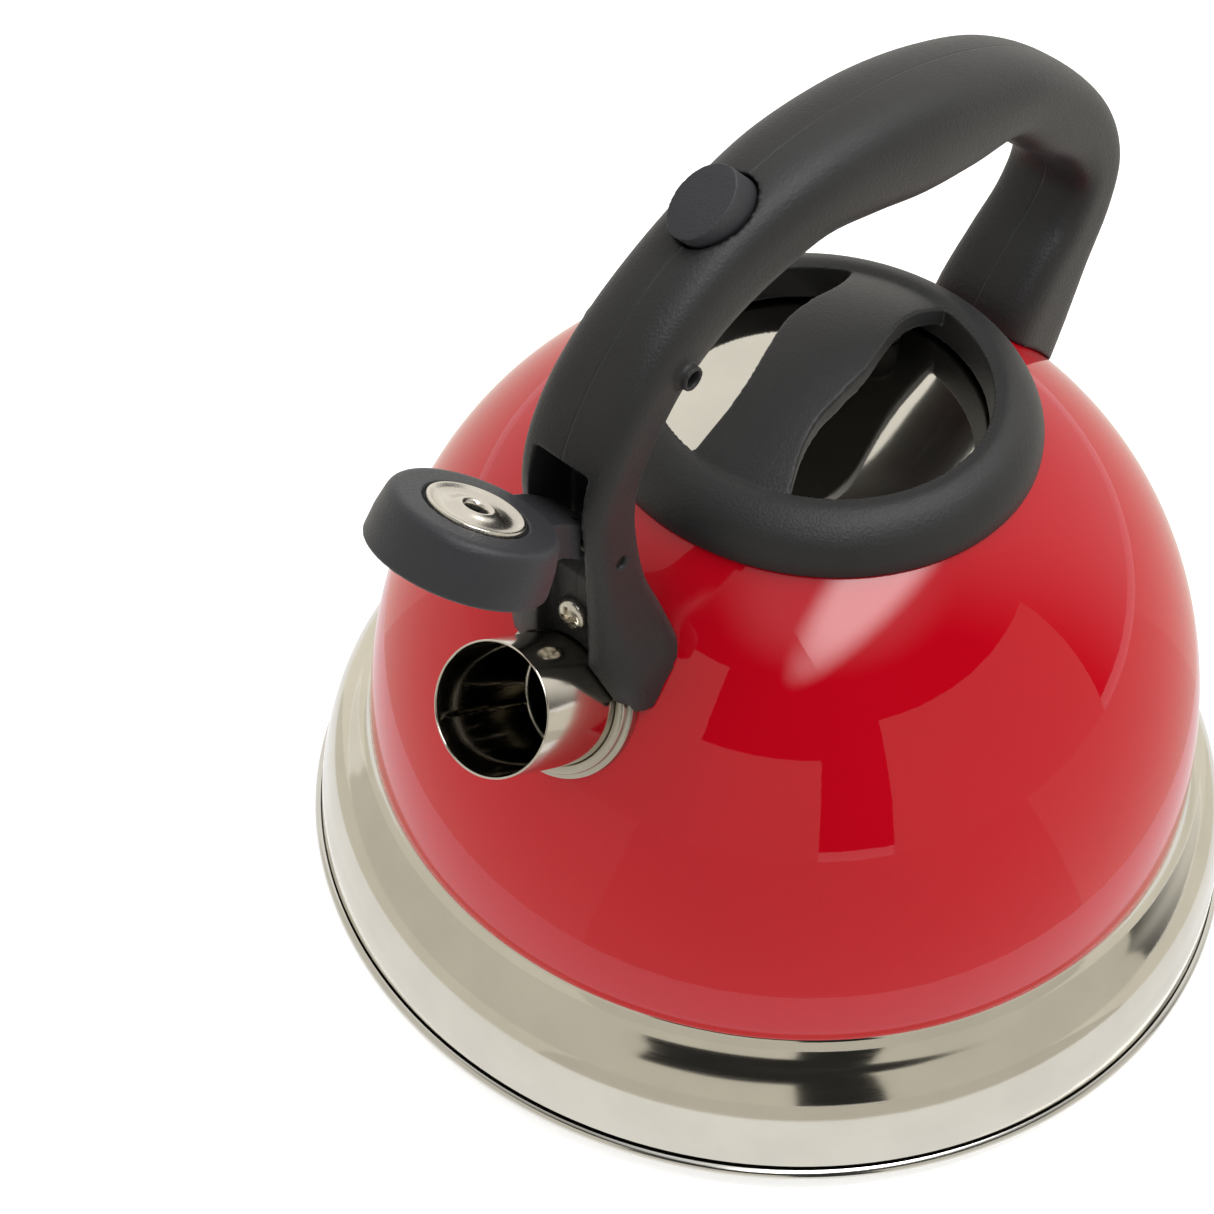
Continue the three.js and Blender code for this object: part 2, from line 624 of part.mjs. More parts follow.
function lidScrew([x, y]) {
  const screw = turned([
    [0, 125.6], [2, 125.6], [3.4, 126.6], [3.4, 129], [1.45, 129], [1.45, 138], [0, 138],
  ], 16);
  return screw.translate([x, y, 0]);
}

// Scene
const kettle = new THREE.Group();

function place(name, solid, material) {
  const mesh = new THREE.Mesh(geometryOf(solid), material);
  mesh.name = name;
  kettle.add(mesh);
}

place("body_shell", bodyShell(), enamel());
place("bottom_pan", bottomPan(), polishedSteel());
place("base_capsule", baseCapsule(), brushedSteel());
place("heat_spreader", heatSpreader(), aluminium());
place("spout_tube", spoutTube(), polishedSteel());
place("spout_ferrule", spoutFerrule(), brushedSteel());
place("handle", handle(), nylon());
place("front_bracket", frontBracket(), brushedSteel());
place("front_screw", panScrew(76.35, 66.8, FRONT_SCREW_Z), nickel());
place("rear_bracket", rearBracket(), brushedSteel());
place("rear_screw", panScrew(-75.75, -66.8, REAR_SCREW_Z), nickel());
place("cap_hinge_pin", crossBar(HINGE, PIN_R, -10.2, 10.2), brushedSteel());
place("rocker_pin", crossBar(ROCKER, ROCKER_PIN_R, -11, 11), brushedSteel());
place("whistle_cap", whistleCap(), nylon());
place("whistle_outer_disc", whistleOuterDisc(), nickel());
place("whistle_inner_disc", whistleInnerDisc(), nickel());
place("thumb_button", thumbButton(), nylon());
place("rocker_lever", rockerLever(), nylon());
place("link_rod", linkRod(), brushedSteel());
place("lid_cover", lidCover(), nylon());
place("lid_plate", lidPlate(), polishedSteel());
place("lid_skirt", lidSkirt(), polishedSteel());
LID_SCREWS.forEach((spot, i) => place(`lid_screw_${i + 1}`, lidScrew(spot), nickel()));

export default kettle;
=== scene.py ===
"""Looks for the stovetop whistling kettle.

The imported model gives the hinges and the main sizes. Fine pieces stand in for its faceted nodes,
each with a procedural material, in a plain studio with soft light. Pieces are drawn in
millimetres in the row frame and turned into metres when they are finished.
"""
import json
import math

import bmesh
import bpy
from mathutils import Matrix, Vector


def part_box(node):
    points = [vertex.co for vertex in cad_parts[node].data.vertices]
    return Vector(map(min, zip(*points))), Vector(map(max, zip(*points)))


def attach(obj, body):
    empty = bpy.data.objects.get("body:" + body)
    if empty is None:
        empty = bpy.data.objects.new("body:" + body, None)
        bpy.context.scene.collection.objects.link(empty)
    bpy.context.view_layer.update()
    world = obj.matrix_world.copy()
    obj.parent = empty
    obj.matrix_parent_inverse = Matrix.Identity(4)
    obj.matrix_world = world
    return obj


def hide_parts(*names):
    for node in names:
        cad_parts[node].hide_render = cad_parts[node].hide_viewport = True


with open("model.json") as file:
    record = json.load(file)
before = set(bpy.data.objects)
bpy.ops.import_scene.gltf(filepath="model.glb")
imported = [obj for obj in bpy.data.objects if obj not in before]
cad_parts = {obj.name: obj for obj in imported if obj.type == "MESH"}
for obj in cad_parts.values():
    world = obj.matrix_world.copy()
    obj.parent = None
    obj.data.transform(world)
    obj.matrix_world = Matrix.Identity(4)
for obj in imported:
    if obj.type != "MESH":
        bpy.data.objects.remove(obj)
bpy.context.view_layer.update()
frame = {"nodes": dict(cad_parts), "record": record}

MM = 0.001
JOINTS = {joint["name"]: joint for joint in frame["record"]["behaviour"]["joints"]}


def hinge_place(name):
    """A hinge's place in the side view, [x, z] in millimetres."""
    x, _, z = JOINTS[name]["pos_m"]
    return [x / MM, z / MM]


def reach(node, axis, end):
    """One side of a node's box, in millimetres; end is 0 for the low side and 1 for the high."""
    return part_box(node)[end][axis] / MM


# The kettle's own dimensions, in millimetres
CLEAR = 0.35
SHEET = 1.2
BASE_R = reach("bottom_pan", 0, 1)
SKIRT_R = reach("body_shell", 0, 1)
SKIRT_Z = reach("body_shell", 2, 0)
SHOULDER_R = 96.2
SHOULDER_Z = 35.5
DOME_RISE = 102.9
DOME_POWER = 2.2
LEDGE_R = 46
LEDGE_Z = reach("body_shell", 2, 1)
MOUTH_R = 42
SPOUT_TILT = 31
SPOUT_MOUTH = [100.6, 114.2]
SPOUT_R = 14.1
SPOUT_WALL = 0.9
SPOUT_LENGTH = 32
FERRULE_R = 17.2
HINGE = hinge_place("cap_hinge")
ROCKER = hinge_place("rocker_hinge")
CAP_OPEN = JOINTS["cap_hinge"]["range_deg"][1]
CAP_STANDOFF = 5
CAP_TOP_R = 16
CAP_RIM_R = 18.4
CAP_DEPTH = 11.4
DISC_R = 9.9
BUTTON_FACE = [46.6, 212.5]
BUTTON_TILT = 46
BUTTON_FACE_TILT = 58
BUTTON_LENGTH = 17
BUTTON_WIDTH = 11.6
WINDOW_HALF = 6.8
ARM_HALF = 5.9
LID_R = 48.5
RING_INNER_R = 36.5
RING_Z = 139.6
GRIP_RISE = 11
PLATE_Z = 128.7
LID_SCREWS = [[29, 5.5], [-29, -5.5]]
FRONT_SCREW_Z = 124.4
REAR_SCREW_Z = 121.5


# Mesh helpers
def link(name, mesh):
    obj = bpy.data.objects.new(name, mesh)
    bpy.context.scene.collection.objects.link(obj)
    return obj


def solid(name, points, faces):
    """A closed mesh object with its faces turned outwards."""
    mesh = bpy.data.meshes.new(name)
    mesh.from_pydata(points, [], faces)
    shape = bmesh.new()
    shape.from_mesh(mesh)
    bmesh.ops.recalc_face_normals(shape, faces=shape.faces)
    shape.to_mesh(mesh)
    shape.free()
    return link(name, mesh)


def smooth_path(points, parts):
    """Points along a smooth curve through the given ones, each a tuple of numbers."""
    path = []
    last = len(points) - 1
    for i in range(last):
        a, b, c, d = (points[min(max(i + k, 0), last)] for k in (-1, 0, 1, 2))
        for step in range(parts):
            t = step / parts
            path.append([
                0.5 * (2 * q + (r - p) * t + (2 * p - 5 * q + 4 * r - s) * t * t
                       + (3 * q - p - 3 * r + s) * t ** 3)
                for p, q, r, s in zip(a, b, c, d)
            ])
    path.append(list(points[last]))
    return path


def turned(name, profile, steps=128):
    """A closed [radius, height] outline turned about Z."""
    points = []
    rings = []
    for radius, height in profile:
        count = 1 if radius < 1e-6 else steps
        rings.append([len(points) + i for i in range(count)])
        for i in range(count):
            angle = 2 * math.pi * i / steps
            points.append((radius * math.cos(angle), radius * math.sin(angle), height))
    pairs = list(zip(rings, rings[1:]))
    if len(rings[0]) > 1:
        pairs.append((rings[-1], rings[0]))
    faces = []
    for low, high in pairs:
        for i in range(steps):
            j = (i + 1) % steps
            face = [low[i % len(low)], low[j % len(low)], high[j % len(high)], high[i % len(high)]]
            corners = list(dict.fromkeys(face))
            if len(corners) > 2:
                faces.append(corners)
    return solid(name, points, faces)


def side_plate(name, outline, y_low, y_high):
    """A side-view outline of [x, z] points, as thick as the span between two Y values."""
    count = len(outline)
    points = [(x, y_low, z) for x, z in outline] + [(x, y_high, z) for x, z in outline]
    faces = [list(range(count)), list(range(2 * count - 1, count - 1, -1))]
    for i in range(count):
        j = (i + 1) % count
        faces.append([i, j, count + j, count + i])
    return solid(name, points, faces)


def on_axis(obj, place, tilt):
    """Stands a solid drawn along +Z on a tilted axis through [x, z]."""
    turn = Matrix.Rotation(math.radians(90 - tilt), 4, "Y")
    obj.data.transform(Matrix.Translation((place[0], 0, place[1])) @ turn)
    return obj


def about_pin(obj, place, degrees):
    """Turns a solid about a Y axis through [x, z]; positive lowers what is in front."""
    pin = Matrix.Translation((place[0], 0, place[1]))
    turn = Matrix.Rotation(math.radians(degrees), 4, "Y")
    obj.data.transform(pin @ turn @ pin.inverted())
    return obj


def bar(radius, low, high, steps=64):
    return turned("bar", [[0, low], [radius, low], [radius, high], [0, high]], steps)


def cross_bar(place, radius, y_low, y_high, steps=48):
    """A round bar along Y through [x, z]."""
    rod = bar(radius, -y_high, -y_low, steps)
    rod.data.transform(Matrix.Rotation(math.radians(90), 4, "X"))
    rod.data.transform(Matrix.Translation((place[0], 0, place[1])))
    return rod


def long_bar(radius, x_low, x_high, z):
    """A round bar along X through height z."""
    return on_axis(bar(radius, x_low, x_high, 48), [0, z], 0)


def settle(obj):
    """Turns an object's modifiers into its mesh."""
    graph = bpy.context.evaluated_depsgraph_get()
    mesh = bpy.data.meshes.new_from_object(obj.evaluated_get(graph))
    obj.modifiers.clear()
    obj.data = mesh
    return obj


def combined(target, others, operation):
    for other in others:
        step = target.modifiers.new("step", "BOOLEAN")
        step.solver = "EXACT"
        step.operation = operation
        step.object = other
    settle(target)
    for other in others:
        bpy.data.objects.remove(other)
    return target


def moulded(obj, grain, passes, keep):
    """Remakes a solid as one even skin with softly rounded edges, as a moulding has."""
    skin = obj.modifiers.new("skin", "REMESH")
    skin.mode = "VOXEL"
    skin.voxel_size = grain
    soft = obj.modifiers.new("soft", "SMOOTH")
    soft.factor = 0.5
    soft.iterations = passes
    thin = obj.modifiers.new("thin", "DECIMATE")
    thin.ratio = keep
    return settle(obj)


def finished(obj, name, body, look, nodes=(), crease=35):
    """Puts a piece in metres, shades it, dresses it and sets it on its body."""
    obj.name = name
    mesh = obj.data
    mesh.name = name
    mesh.transform(Matrix.Scale(MM, 4))
    mesh.shade_smooth()
    mesh.set_sharp_from_angle(angle=math.radians(crease))
    mesh.materials.clear()
    mesh.materials.append(look)
    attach(obj, body)
    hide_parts(*nodes)
    return obj


# Materials
def new_look(name, **sockets):
    look = bpy.data.materials.new(name)
    look.use_nodes = True
    shader = look.node_tree.nodes["Principled BSDF"]
    for socket, value in sockets.items():
        shader.inputs[socket.replace("_", " ")].default_value = value
    return look


def add_node(look, kind, **settings):
    node = look.node_tree.nodes.new(kind)
    for key, value in settings.items():
        if key in node.inputs:
            node.inputs[key].default_value = value
        else:
            setattr(node, key, value)
    return node


def join_up(look, source, output, target, socket):
    look.node_tree.links.new(source.outputs[output], target.inputs[socket])


def shader_of(look):
    return look.node_tree.nodes["Principled BSDF"]


def add_noise(look, coords, output, scale, detail=3.0, rough=0.5):
    noise = add_node(look, "ShaderNodeTexNoise", Scale=scale, Detail=detail, Roughness=rough)
    join_up(look, coords, output, noise, "Vector")
    return noise


def add_bump(look, source, output, strength, depth, under=None):
    bump = add_node(look, "ShaderNodeBump", Strength=strength, Distance=depth)
    join_up(look, source, output, bump, "Height")
    if under is not None:
        join_up(look, under, "Normal", bump, "Normal")
    join_up(look, bump, "Normal", shader_of(look), "Normal")
    return bump


def add_spread(look, source, output, low, high, socket):
    """Spreads a texture's values over a range and feeds them to a socket of the shader."""
    spread = add_node(look, "ShaderNodeMapRange")
    spread.inputs["From Min"].default_value = 0.3
    spread.inputs["From Max"].default_value = 0.7
    spread.inputs["To Min"].default_value = low
    spread.inputs["To Max"].default_value = high
    join_up(look, source, output, spread, "Value")
    join_up(look, spread, "Result", shader_of(look), socket)
    return spread


def add_colours(look, source, output, colours):
    """Colours from a texture; colours is a list of (position, linear colour)."""
    ramp = add_node(look, "ShaderNodeValToRGB")
    stops = ramp.color_ramp.elements
    while len(stops) < len(colours):
        stops.new(0.5)
    for stop, (place, colour) in zip(stops, colours):
        stop.position = place
        stop.color = (*colour, 1)
    join_up(look, source, output, ramp, "Fac")
    join_up(look, ramp, "Color", shader_of(look), "Base Color")
    return ramp


def turned_coords(look, place=(0, 0), tilt=90):
    """Coordinates that run out from an axis and along it, so that a pattern forms fine rings."""
    where = add_node(look, "ShaderNodeTexCoord")
    level = add_node(look, "ShaderNodeMapping", vector_type="TEXTURE")
    level.inputs["Location"].default_value = (place[0] * MM, 0, place[1] * MM)
    level.inputs["Rotation"].default_value = (0, math.radians(90 - tilt), 0)
    join_up(look, where, "Object", level, "Vector")
    flat = add_node(look, "ShaderNodeVectorMath", operation="MULTIPLY")
    flat.inputs[1].default_value = (1, 1, 0)
    join_up(look, level, "Vector", flat, 0)
    radius = add_node(look, "ShaderNodeVectorMath", operation="LENGTH")
    join_up(look, flat, "Vector", radius, 0)
    split = add_node(look, "ShaderNodeSeparateXYZ")
    join_up(look, level, "Vector", split, "Vector")
    angle = add_node(look, "ShaderNodeMath", operation="ARCTAN2")
    join_up(look, split, "Y", angle, 0)
    join_up(look, split, "X", angle, 1)
    drift = add_node(look, "ShaderNodeMath", operation="MULTIPLY")
    drift.inputs[1].default_value = 0.0012
    join_up(look, angle, "Value", drift, 0)
    rings = add_node(look, "ShaderNodeCombineXYZ")
    join_up(look, radius, "Value", rings, "X")
    join_up(look, split, "Z", rings, "Y")
    join_up(look, drift, "Value", rings, "Z")
    return rings


def enamel_look():
    look = new_look("red_enamel", Roughness=0.4, IOR=1.45, Coat_Weight=1.0,
                    Coat_Roughness=0.025, Coat_IOR=1.5, Specular_IOR_Level=0.0)
    where = add_node(look, "ShaderNodeTexCoord")
    cloud = add_noise(look, where, "Object", 14, 2)
    add_colours(look, cloud, "Fac", [(0.3, (0.44, 0.0008, 0.0080)), (0.7, (0.48, 0.0012, 0.0100))])
    peel = add_noise(look, where, "Object", 420, 2, 0.4)
    bump = add_bump(look, peel, "Fac", 0.10, 0.00004)
    join_up(look, bump, "Normal", shader_of(look), "Coat Normal")
    return look


def steel_look(name, colour, low, high, bump, place=(0, 0), tilt=90):
    """Turned steel: fine rings in the polish, and faint clouding from handling."""
    look = new_look(name, Metallic=1.0, Specular_IOR_Level=0.5)
    rings = turned_coords(look, place, tilt)
    lines = add_noise(look, rings, "Vector", 5200, 4, 0.65)
    add_spread(look, lines, "Fac", low, high, "Roughness")
    where = add_node(look, "ShaderNodeTexCoord")
    cloud = add_noise(look, where, "Object", 55, 4)
    darker = tuple(0.93 * part for part in colour)
    add_colours(look, cloud, "Fac", [(0.35, darker), (0.65, colour)])
    add_bump(look, lines, "Fac", bump, 0.00001)
    return look


def nylon_look(name, colour, rough):
    """Black nylon from a spark-eroded mould: fine pits, with faint wear in the sheen."""
    look = new_look(name, IOR=1.5, Specular_IOR_Level=0.36, Sheen_Weight=0.03)
    where = add_node(look, "ShaderNodeTexCoord")
    broad = add_noise(look, where, "Object", 60, 4)
    darker = tuple(0.82 * part for part in colour)
    add_colours(look, broad, "Fac", [(0.3, darker), (0.7, colour)])
    fine = add_noise(look, where, "Object", 2600, 5, 0.6)
    add_spread(look, fine, "Fac", rough - 0.05, rough + 0.08, "Roughness")
    pits = add_node(look, "ShaderNodeTexVoronoi", Scale=1500)
    join_up(look, where, "Object", pits, "Vector")
    low = add_bump(look, pits, "Distance", 0.45, 0.00012)
    add_bump(look, fine, "Fac", 0.6, 0.00010, low)
    return look


def handle_look(colour, rough):
    """The handle's nylon, with the faint line that the two halves of its mould leave."""
    look = nylon_look("handle_nylon", colour, rough)
    grain = shader_of(look).inputs["Normal"].links[0].from_node
    where = add_node(look, "ShaderNodeTexCoord")
    parts = add_node(look, "ShaderNodeSeparateXYZ")
    join_up(look, where, "Object", parts, "Vector")
    aside = add_node(look, "ShaderNodeMath", operation="ABSOLUTE")
    join_up(look, parts, "Y", aside, 0)
    line = add_node(look, "ShaderNodeMapRange")
    line.inputs["From Min"].default_value = 0.0001
    line.inputs["From Max"].default_value = 0.00035
    join_up(look, aside, "Value", line, "Value")
    add_bump(look, line, "Result", 0.6, 0.00018, grain)
    return look


RED = enamel_look()
FLARE = steel_look("body_steel", (0.70, 0.665, 0.585), 0.07, 0.13, 0.20)
PAN = steel_look("pan_steel", (0.74, 0.72, 0.67), 0.10, 0.17, 0.25)
PLATE = steel_look("lid_plate_steel", (0.72, 0.69, 0.62), 0.035, 0.075, 0.12)
TUBE = steel_look("spout_steel", (0.66, 0.62, 0.55), 0.08, 0.15, 0.2, SPOUT_MOUTH, SPOUT_TILT)
FERRULE = steel_look("ferrule_steel", (0.52, 0.49, 0.43), 0.26, 0.38, 0.35, SPOUT_MOUTH, SPOUT_TILT)
NICKEL = steel_look("nickel_plate", (0.74, 0.70, 0.63), 0.20, 0.30, 0.1)
HIDDEN_STEEL = steel_look("plain_steel", (0.6, 0.58, 0.54), 0.28, 0.4, 0.3)
# Near-black steel for the link rod and pins: painted shade, dark so that it stands for the shadow in
# the handle window and the pin holes
SHADE_DARK_STEEL = steel_look("dark_steel_painted_shade", (0.055, 0.053, 0.05), 0.35, 0.5, 0.3)
SPREADER = steel_look("mill_aluminium", (0.72, 0.73, 0.74), 0.4, 0.55, 0.3)
NYLON = nylon_look("black_nylon", (0.0175, 0.0172, 0.0175), 0.45)
HANDLE_NYLON = handle_look((0.0175, 0.0172, 0.0175), 0.45)
SMOOTH_NYLON = nylon_look("black_nylon_satin", (0.027, 0.0275, 0.032), 0.42)


# Body
def dome_path(offset, start, parts=44):
    """The dome's outline from a start height up to the ledge, moved out along its normal."""
    path = []
    first = math.asin(((start - SHOULDER_Z) / DOME_RISE) ** (DOME_POWER / 2))
    last = math.acos((LEDGE_R / SHOULDER_R) ** (DOME_POWER / 2))
    for i in range(parts + 1):
        turn = first + (last - first) * i / parts
        radius = SHOULDER_R * math.cos(turn) ** (2 / DOME_POWER)
        height = SHOULDER_Z + DOME_RISE * math.sin(turn) ** (2 / DOME_POWER)
        across = (radius / SHOULDER_R) ** (DOME_POWER - 1) / SHOULDER_R
        up = (max(height - SHOULDER_Z, 0) / DOME_RISE) ** (DOME_POWER - 1) / DOME_RISE
        size = math.hypot(across, up)
        path.append([radius + offset * across / size, height + offset * up / size])
    return path


def dome_filled(offset):
    side = dome_path(offset, SHOULDER_Z)
    return turned("dome", [[0, SHOULDER_Z], *side, [0, side[-1][1]]], 160)


def spout_bar(radius, low, high):
    return on_axis(bar(radius, low, high), SPOUT_MOUTH, SPOUT_TILT)


FLARE_PATH = [
    [SKIRT_R, SKIRT_Z], [108.1, 12], [107.4, 16], [106.6, 20], [105.4, 23.6], [103.7, 26.4],
    [101.5, 29], [99.2, 31.1], [97.6, 33], [96.75, 34.9],
]


def make_body():
    flare = smooth_path(FLARE_PATH, 6)
    bead = [[96.62, 35.4], [96.5, 35.7], [96.3, 35.9]]
    outside = [*flare, *bead, *dome_path(0, SHOULDER_Z + 0.5)]
    ledge = [[LEDGE_R - 0.6, LEDGE_Z], [MOUTH_R + 0.8, LEDGE_Z], [MOUTH_R, LEDGE_Z - 0.8]]
    collar = [[MOUTH_R, LEDGE_Z - 5], [MOUTH_R + SHEET, LEDGE_Z - 5]]
    under = [[MOUTH_R + SHEET, LEDGE_Z - SHEET], [LEDGE_R - 0.8, LEDGE_Z - SHEET - 0.4]]
    inside = [*reversed(dome_path(-SHEET, SHOULDER_Z)), *([r - SHEET, z] for r, z in reversed(flare))]
    shell = turned("shell", [*outside, *ledge, *collar, *under, *inside], 192)
    combined(shell, [spout_bar(SPOUT_R + CLEAR, -45, 5)], "DIFFERENCE")
    finished(shell, "body_steel", "kettle", FLARE, ["body_shell"])


def make_enamel():
    outer = dome_path(0.3, SHOULDER_Z + 0.9)
    inner = dome_path(0.04, SHOULDER_Z + 0.9)
    edge = [[inner[0][0] + 0.12, SHOULDER_Z + 0.65], [outer[0][0] - 0.06, SHOULDER_Z + 0.72]]
    lip = [[LEDGE_R + 0.2, outer[-1][1]]]
    coat = turned("coat", [*reversed(inner), *edge, *outer, *lip], 192)
    combined(coat, [spout_bar(SPOUT_R + CLEAR + 0.5, -45, 5)], "DIFFERENCE")
    finished(coat, "body_enamel", "kettle", RED)


def make_pan():
    roll = []
    for i in range(17):
        angle = math.radians(-100 + 165 * i / 16)
        roll.append([BASE_R - 2.3 + 2.3 * math.cos(angle), 3.7 + 1.55 * math.sin(angle)])
    inner = SKIRT_R - SHEET - 2 * CLEAR
    seam = [[108.4, 4.7], [107.8, 4.5], [107.1, 4.7], [106.7, 5.2]]
    inside = [[inner, 5.6], [inner - 0.2, 8.2], [inner - 0.8, 8.5], [inner - 1.4, 8.2]]
    floor = [[102.6, 4.3], [0, 4.3], [0, 3.3], [103.4, 3.3], [105, 2.7]]
    profile = [*roll, *seam, *inside, *floor]
    first = profile.index([0, 3.3])
    pan = turned("pan", [*profile[first:], *profile[:first]], 192)
    finished(pan, "pan_rolled", "kettle", PAN, ["bottom_pan"])


def make_base():
    radius = reach("base_capsule", 0, 1)
    top = reach("base_capsule", 2, 1)
    edge = smooth_path([[radius - 2, 0], [radius - 1, 0.25], [radius - 0.25, 0.9], [radius, 1.6]], 4)
    ring = [[60, 0], [59.6, 0.25], [59, 0.25], [58.6, 0]]
    wall = [[radius, top], [radius - 1, top], [radius - 1, 0.9]]
    outline = [[0, 0], *reversed(ring), *edge, *wall, [0, 0.9]]
    base = turned("base", outline, 160)
    finished(base, "base_disc", "kettle", PAN, ["base_capsule"])


# Spout
def make_spout():
    inner = SPOUT_R - SPOUT_WALL
    lip = [[0, -0.25], [0.06, -0.08], [0.16, 0], [0.28, 0], [0.4, -0.08], [0.48, -0.25], [0.6, -0.9]]
    edge = [[SPOUT_R - inset, along] for inset, along in lip]
    outline = [[SPOUT_R, -SPOUT_LENGTH], *edge, [inner, -2.6], [inner, -SPOUT_LENGTH]]
    tube = on_axis(turned("tube", outline, 128), SPOUT_MOUTH, SPOUT_TILT)
    finished(tube, "spout_tube_fine", "kettle", TUBE, ["spout_tube"])


def make_spout_rim():
    """The bright cut edge at the tube's inner end."""
    inner = SPOUT_R - SPOUT_WALL
    low = -SPOUT_LENGTH + 0.4
    rim = turned("rim", [
        [inner - 0.04, low], [inner - 0.04, low + 0.7], [inner - 0.35, low + 0.55],
        [inner - 0.5, low + 0.2],
    ], 96)
    on_axis(rim, SPOUT_MOUTH, SPOUT_TILT)
    finished(rim, "spout_inner_rim", "kettle", NICKEL)


def make_spout_seam():
    """The flattened weld along the inside of the rolled tube."""
    inner = SPOUT_R - SPOUT_WALL
    points = []
    faces = []
    across = [(-0.7, 0.02), (-0.3, 0.16), (0.3, 0.16), (0.7, 0.02), (0.7, -0.2), (-0.7, -0.2)]
    stations = 24
    for s in range(stations + 1):
        along = -SPOUT_LENGTH + 0.5 + (SPOUT_LENGTH - 2) * s / stations
        for side, rise in across:
            lift = rise + 0.03 * math.sin(2.3 * s)
            points.append((side, -(inner - lift), along))
    count = len(across)
    for s in range(stations):
        for i in range(count):
            j = (i + 1) % count
            low = s * count
            faces.append([low + i, low + j, low + count + j, low + count + i])
    faces.append(list(range(count)))
    faces.append([stations * count + i for i in range(count)])
    seam = solid("seam", points, faces)
    seam.data.transform(Matrix.Rotation(math.radians(38), 4, "Z"))
    on_axis(seam, SPOUT_MOUTH, SPOUT_TILT)
    finished(seam, "spout_weld", "kettle", TUBE)


def make_ferrule():
    inner = SPOUT_R + 0.12
    step = [[FERRULE_R - 0.15, -25.6], [FERRULE_R - 0.4, -25.45], [16.35, -25.35], [16.2, -25.2]]
    nose = [[16.15, -24.4], [16, -24], [15.7, -23.75], [15.2, -23.6], [inner + 0.2, -23.6]]
    barrel = [[inner, -30], [FERRULE_R, -30], [FERRULE_R, -25.8]]
    collar = turned("collar", [*barrel, *step, *nose, [inner, -23.8]], 128)
    on_axis(collar, SPOUT_MOUTH, SPOUT_TILT)
    combined(collar, [dome_filled(0.3)], "DIFFERENCE")
    finished(collar, "ferrule_fine", "kettle", FERRULE, ["spout_ferrule"])


# Whistle cap, drawn shut in front of the spout and swung open
CAP_SEAT = [
    SPOUT_MOUTH[0] + CAP_STANDOFF * math.cos(math.radians(SPOUT_TILT)),
    SPOUT_MOUTH[1] + CAP_STANDOFF * math.sin(math.radians(SPOUT_TILT)),
]


def opened(obj):
    return about_pin(on_axis(obj, CAP_SEAT, SPOUT_TILT), HINGE, -CAP_OPEN)


def make_cap():
    cup = opened(turned("cup", [
        [0, -1.4], [DISC_R + 0.5, -1.4], [DISC_R + 0.7, 0], [CAP_TOP_R - 0.9, 0],
        [CAP_TOP_R + 0.1, -0.2], [CAP_TOP_R + 0.75, -0.8], [CAP_TOP_R + 1.15, -1.7],
        [CAP_RIM_R - 0.4, -6], [CAP_RIM_R, -CAP_DEPTH + 0.6], [CAP_RIM_R - 0.5, -CAP_DEPTH],
        [16.6, -CAP_DEPTH], [15.9, -4], [0, -3.6],
    ], 96))
    arm = side_plate("arm", [
        *smooth_path([[93.4, 163.6], [89, 162], [84.4, 158.9], [79, 154.2], [74.6, 149.4]], 5),
        [HINGE[0] - 2.9, HINGE[1] + 1], [HINGE[0] - 2.5, HINGE[1] - 1.8],
        [HINGE[0], HINGE[1] - 3.1], [HINGE[0] + 3.2, HINGE[1] - 2.2],
        [82, 147.4], [87.5, 151.6], [96.8, 154.4],
    ], -ARM_HALF, ARM_HALF)
    room = side_plate(
        "room", [[66, 136], [81.2, 136], [82.6, 150], [82.6, 170], [66, 170]], 2.75, ARM_HALF + 1)
    hollow = opened(turned("hollow", [[0, -30], [16.4, -30], [16.4, -3.7], [0, -3.7]], 96))
    combined(arm, [room, hollow], "DIFFERENCE")
    combined(arm, [cup], "UNION")
    vent = opened(bar(2.2, -6, 1))
    combined(arm, [vent, cross_bar(HINGE, 1.3, -8, 8)], "DIFFERENCE")
    moulded(arm, 0.34, 3, 0.5)
    finished(arm, "cap_moulding", "cap", SMOOTH_NYLON, ["whistle_cap"], 180)


def make_cap_discs():
    face = smooth_path([
        [2.3, -0.5], [2.35, 0.1], [2.7, 0.6], [3.3, 0.8], [4.1, 0.62], [5, 0.1], [6, -0.22],
        [7.1, -0.26], [8.2, 0], [8.9, 0.3], [9.4, 0.5], [9.75, 0.42], [DISC_R, 0.1],
    ], 5)
    outer = turned("outer", [*face, [DISC_R, -0.9], [2.3, -0.9]], 96)
    finished(opened(outer), "whistle_badge", "cap", NICKEL, ["whistle_outer_disc"])
    inner = turned("inner", [
        [1.5, -3.95], [10.8, -3.95], [11, -4.1], [11, -4.5], [10.7, -4.6], [4, -4.6], [3, -4.9],
        [1.7, -4.9], [1.5, -4.7],
    ], 96)
    finished(opened(inner), "whistle_inner", "cap", NICKEL, ["whistle_inner_disc"])


# Button
def from_button(along, across):
    tilt = math.radians(BUTTON_TILT)
    return [
        BUTTON_FACE[0] + along * math.cos(tilt) + across * math.sin(tilt),
        BUTTON_FACE[1] + along * math.sin(tilt) - across * math.cos(tilt),
    ]


def oval_bar(length, width, low, high, across=0):
    rod = turned("oval", [[0, low], [0.5, low], [0.5, high], [0, high]], 96)
    rod.data.transform(Matrix.Diagonal((length, width, 1, 1)))
    return on_axis(rod, from_button(0, across), BUTTON_TILT)


